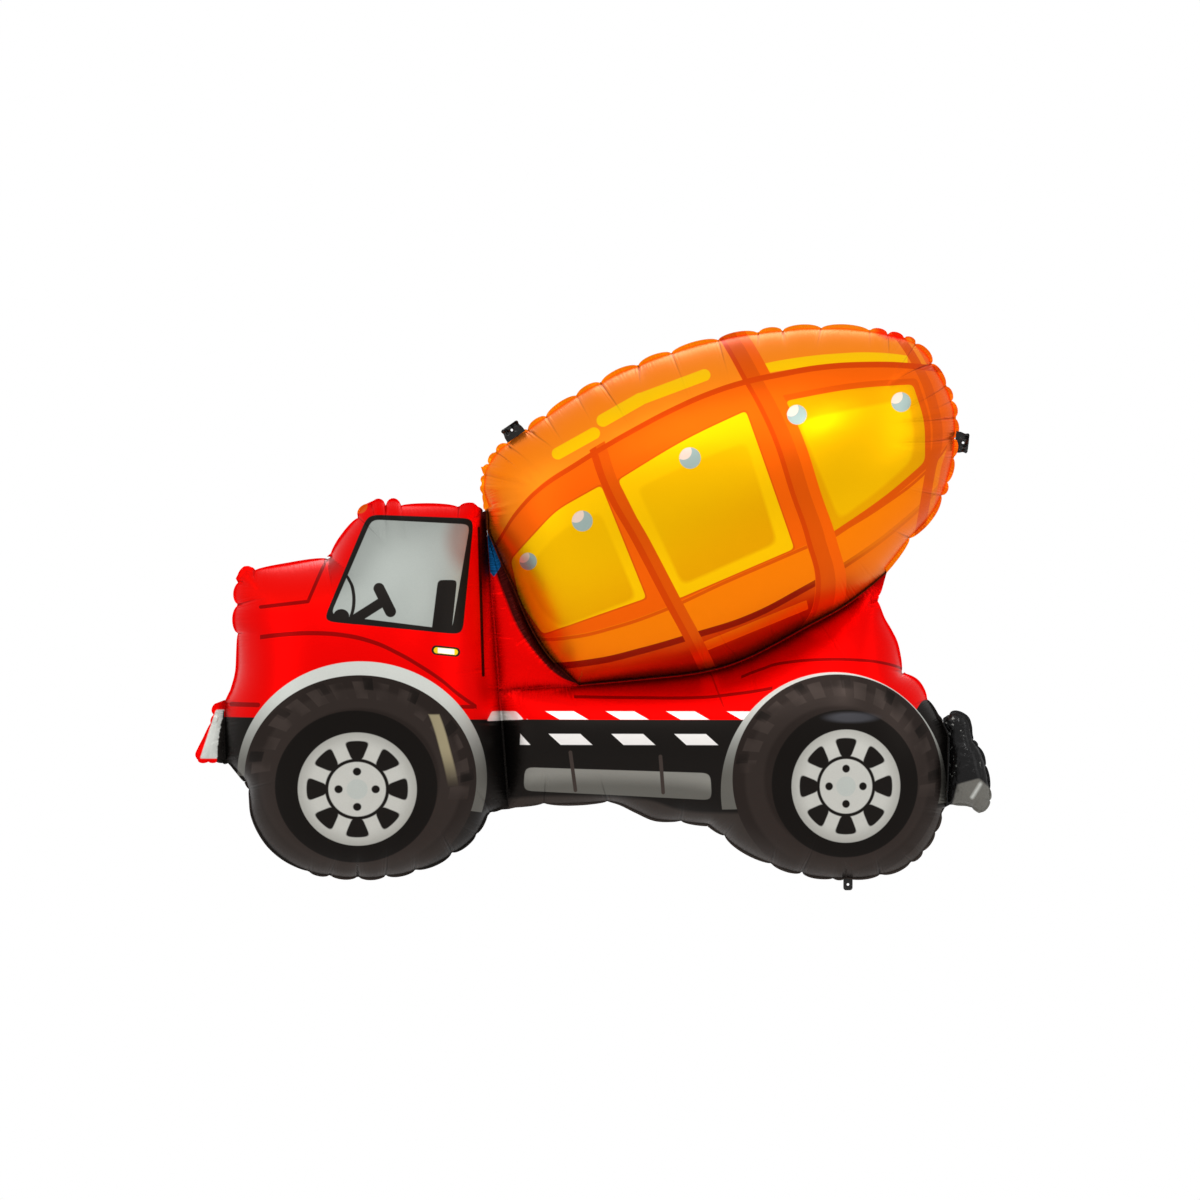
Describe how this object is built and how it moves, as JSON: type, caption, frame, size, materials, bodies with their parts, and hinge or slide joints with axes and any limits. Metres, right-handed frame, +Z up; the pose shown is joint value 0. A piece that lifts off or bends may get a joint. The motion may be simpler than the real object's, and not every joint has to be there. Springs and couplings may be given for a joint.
{
  "type": "film balloon",
  "caption": "Inflated film balloon in the shape of a toy cement mixer truck, with welded chambers, eyelet tabs and a self-sealing valve.",
  "frame": {"origin": "centre of the tether tab's eyelet under the rear wheel, in the plane of the seam", "axes": "+X along the truck from nose to tail, +Y from the front panels to the back panels, +Z up"},
  "size_m": [0.9006, 0.2154, 0.6402],
  "materials": {
    "red_film": "printed metallised film, glossy red",
    "orange_film": "printed metallised film, glossy orange",
    "black_film": "printed metallised film, glossy black",
    "silver_film": "metallised film with a fine silver grain",
    "clear_film": "thin clear valve film"
  },
  "bodies": {
    "envelope": {"chassis_front_film": "red_film", "chassis_back_film": "red_film", "drum_front_film": "orange_film", "drum_back_film": "orange_film", "gusset_front_film": "red_film", "gusset_back_film": "red_film", "tether_tab": "black_film", "valve_front_ply": "clear_film"},
    "cab": {"cab_front_film": "red_film", "cab_back_film": "red_film"},
    "front_bumper": {"front_bumper_front_film": "silver_film", "front_bumper_back_film": "silver_film"},
    "rear_bumper": {"rear_bumper_front_film": "black_film", "rear_bumper_back_film": "black_film"},
    "hang_tab_left": {"hang_tab_left": "black_film"},
    "hang_tab_right": {"hang_tab_right": "black_film"},
    "valve_flap": {"valve_back_ply": "clear_film"}
  },
  "joints": [
    {"name": "cab_fold", "type": "hinge", "parent": "envelope", "child": "cab", "pos_m": [-0.396, 0, 0.25375], "axis": [-0.0775, 0, 0.997], "range_deg": [-25, 25], "stiffness_Nm_per_rad": 0.02},
    {"name": "front_bumper_fold", "type": "hinge", "parent": "cab", "child": "front_bumper", "pos_m": [-0.704, 0, 0.172], "axis": [0, 0, 1], "range_deg": [-30, 30], "stiffness_Nm_per_rad": 0.0004},
    {"name": "rear_bumper_fold", "type": "hinge", "parent": "envelope", "child": "rear_bumper", "pos_m": [0.112, 0, 0.12875], "axis": [0.0248, 0, 0.9997], "range_deg": [-30, 30], "stiffness_Nm_per_rad": 0.0008},
    {"name": "hang_tab_left_fold", "type": "hinge", "parent": "envelope", "child": "hang_tab_left", "pos_m": [-0.37702, 0, 0.50946], "axis": [0.8211, 0, 0.5708], "range_deg": [-70, 70], "stiffness_Nm_per_rad": 0.00002},
    {"name": "hang_tab_right_fold", "type": "hinge", "parent": "envelope", "child": "hang_tab_right", "pos_m": [0.12509, 0, 0.49986], "axis": [-0.1245, 0, -0.9922], "range_deg": [-70, 70], "stiffness_Nm_per_rad": 0.00002},
    {"name": "valve_part", "type": "hinge", "parent": "envelope", "child": "valve_flap", "pos_m": [-0.003, 0, 0.0155], "axis": [-1, 0, 0], "range_deg": [0, 3], "stiffness_Nm_per_rad": 0.0002}
  ]
}
